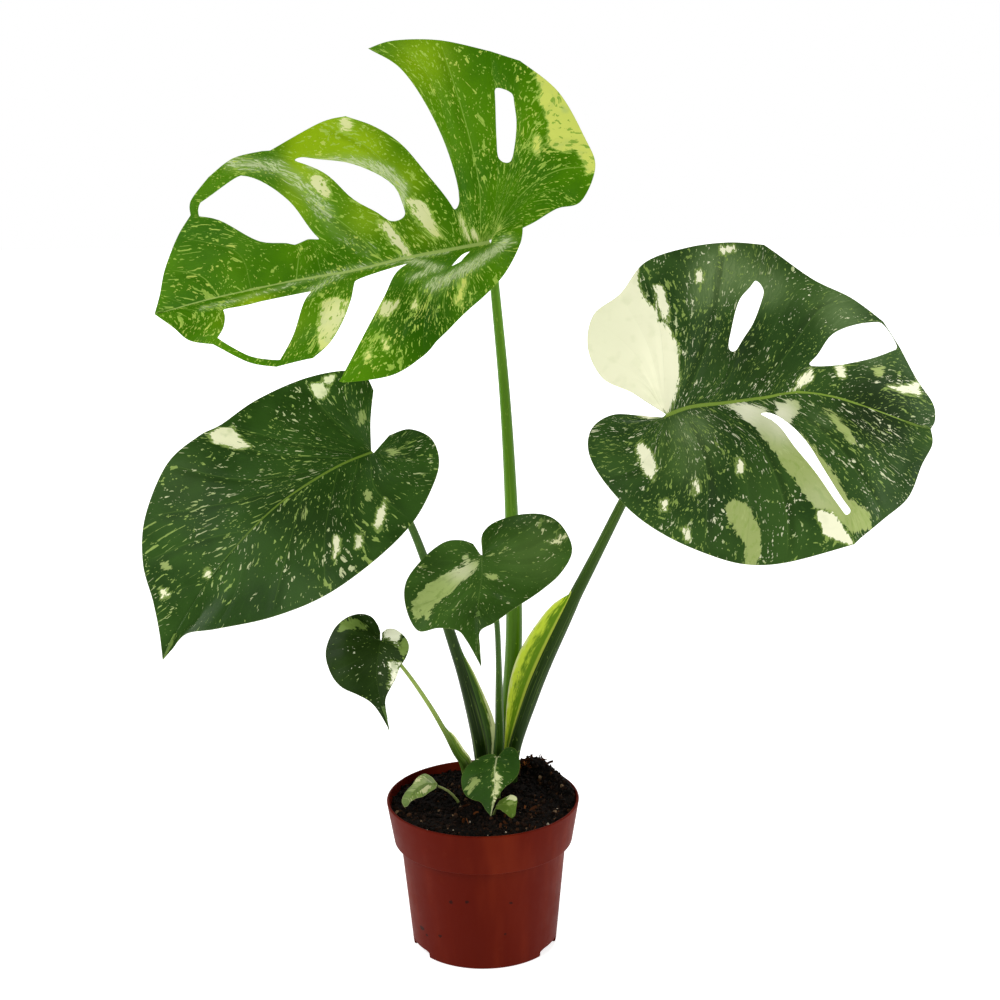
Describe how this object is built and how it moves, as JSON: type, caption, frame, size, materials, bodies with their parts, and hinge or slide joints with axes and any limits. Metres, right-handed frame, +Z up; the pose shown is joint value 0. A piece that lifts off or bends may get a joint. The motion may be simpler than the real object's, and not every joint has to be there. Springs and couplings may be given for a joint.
{
  "type": "potted variegated monstera",
  "caption": "Young split-leaf house plant with marbled green and cream leaves on long stems, growing in a round red-brown nursery pot of soil.",
  "frame": {"origin": "middle of the pot's flat base, on the surface it stands on", "axes": "+Z up the plant, +X to the right and -Y to the front as seen in the picture"},
  "size_m": [0.4735, 0.1866, 0.5569],
  "materials": {
    "pot_plastic": "satin moulded plastic",
    "potting_soil": "rough moist peat and coir with perlite crumbs",
    "stem_skin": "smooth waxy plant skin",
    "marbled_leaf": "satin leaf, dark green with cream marbling",
    "young_leaf": "satin young leaf, bright green with cream marbling"
  },
  "bodies": {
    "root": {"pot": "pot_plastic", "soil": "potting_soil", "crown": "stem_skin", "blade_top": "young_leaf", "stem_top": "stem_skin", "blade_right": "marbled_leaf", "stem_right": "stem_skin", "blade_left": "marbled_leaf", "stem_left": "stem_skin", "blade_middle": "marbled_leaf", "stem_middle": "stem_skin", "blade_small": "marbled_leaf", "stem_small": "stem_skin", "blade_front": "marbled_leaf", "stem_front": "stem_skin", "blade_sprout": "young_leaf", "stem_sprout": "stem_skin", "blade_shoot": "young_leaf", "stem_shoot": "stem_skin"}
  },
  "joints": []
}
